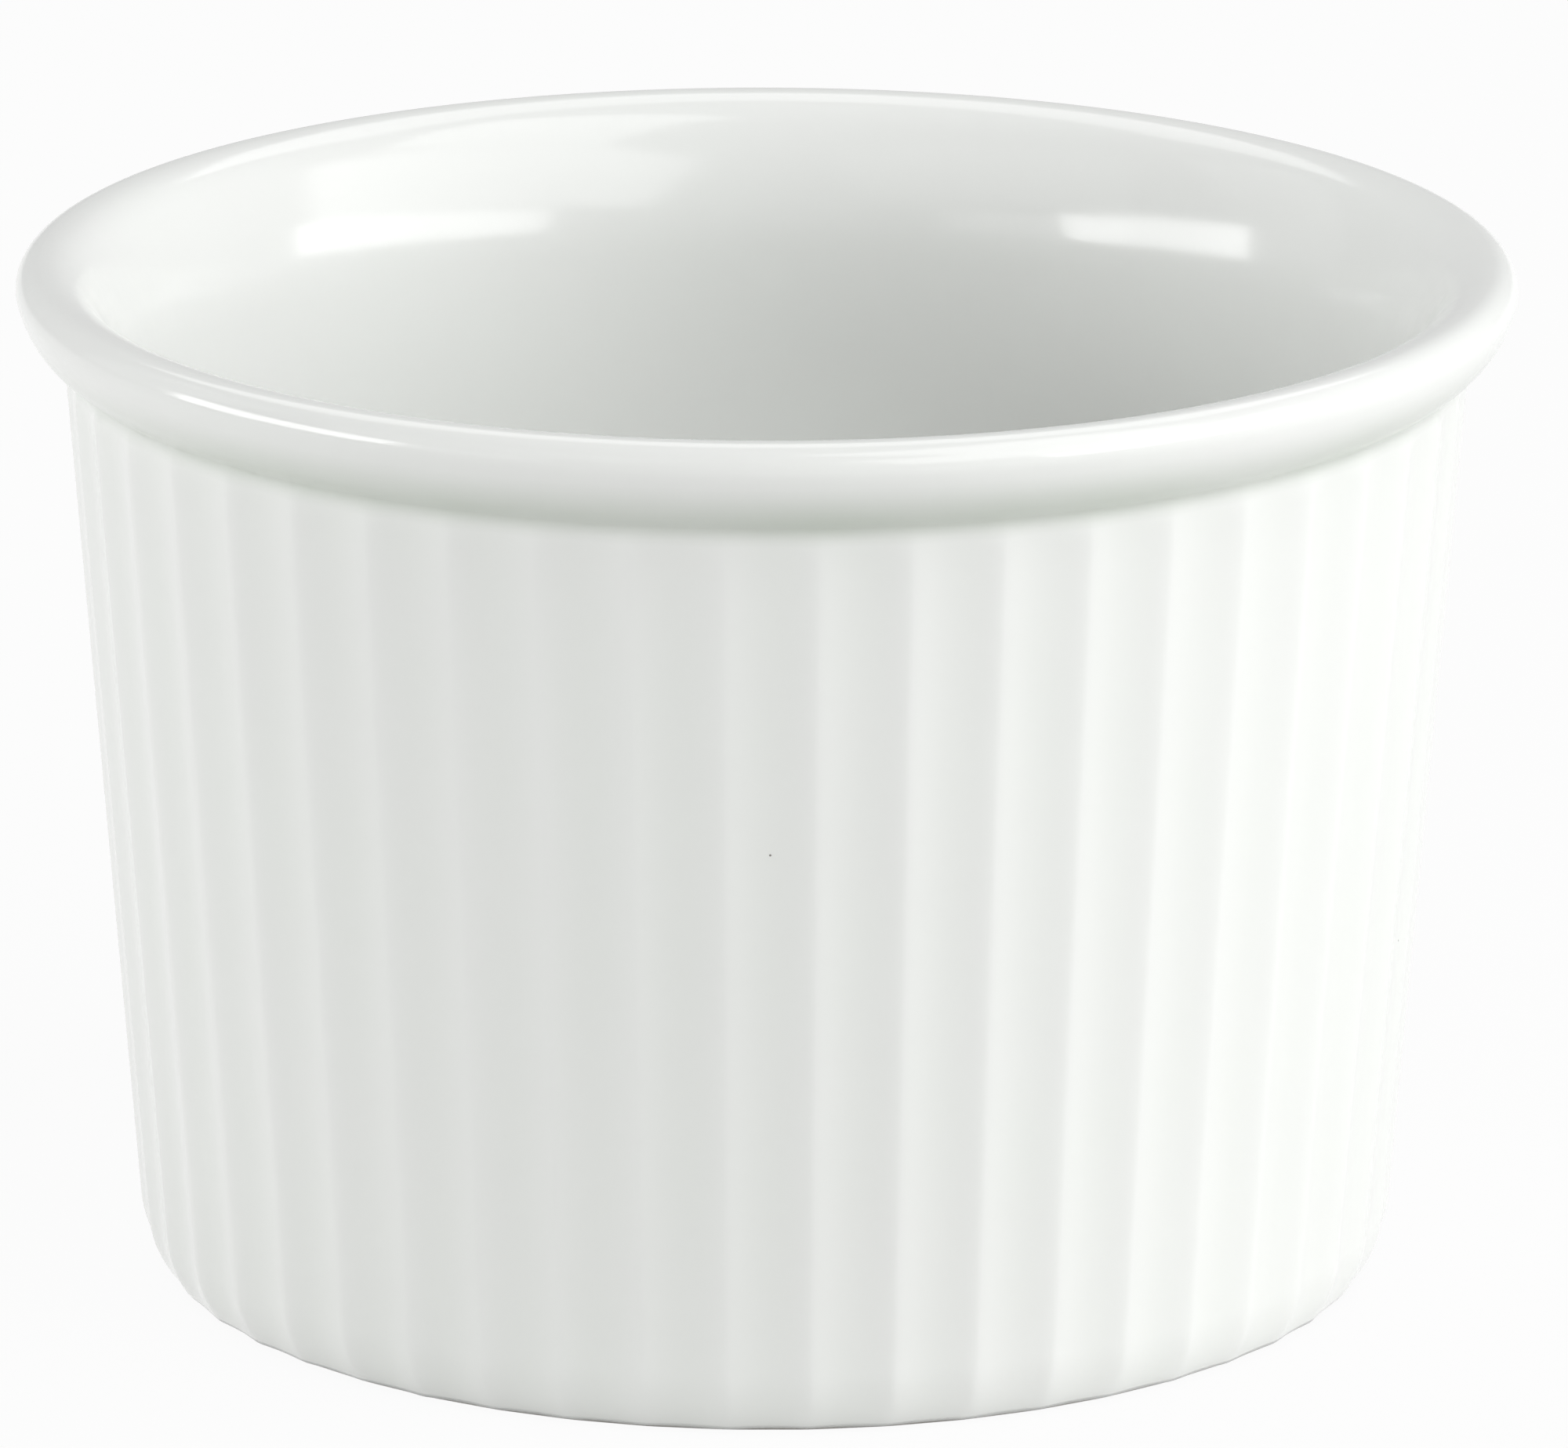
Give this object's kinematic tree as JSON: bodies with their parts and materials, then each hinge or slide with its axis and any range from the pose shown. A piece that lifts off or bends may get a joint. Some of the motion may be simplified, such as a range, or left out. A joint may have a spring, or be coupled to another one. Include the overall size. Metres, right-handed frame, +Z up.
{
  "type": "ramekin",
  "caption": "Fluted white porcelain ramekin with a rolled lip, a rounded base corner and a bare foot ring, for baking and serving single portions.",
  "frame": {"origin": "centre of the circle that the foot ring stands on", "axes": "+Z up along the axis of the cup, +X and +Y in the resting plane, each through the middle of a flute, and -Y towards the camera of the picture"},
  "size_m": [0.09, 0.09, 0.062],
  "materials": {
    "fired_porcelain": "matte",
    "white_glaze": "gloss"
  },
  "bodies": {
    "root": {"porcelain_body": "fired_porcelain", "glaze_coat": "white_glaze", "base_glaze": "white_glaze"}
  },
  "joints": []
}
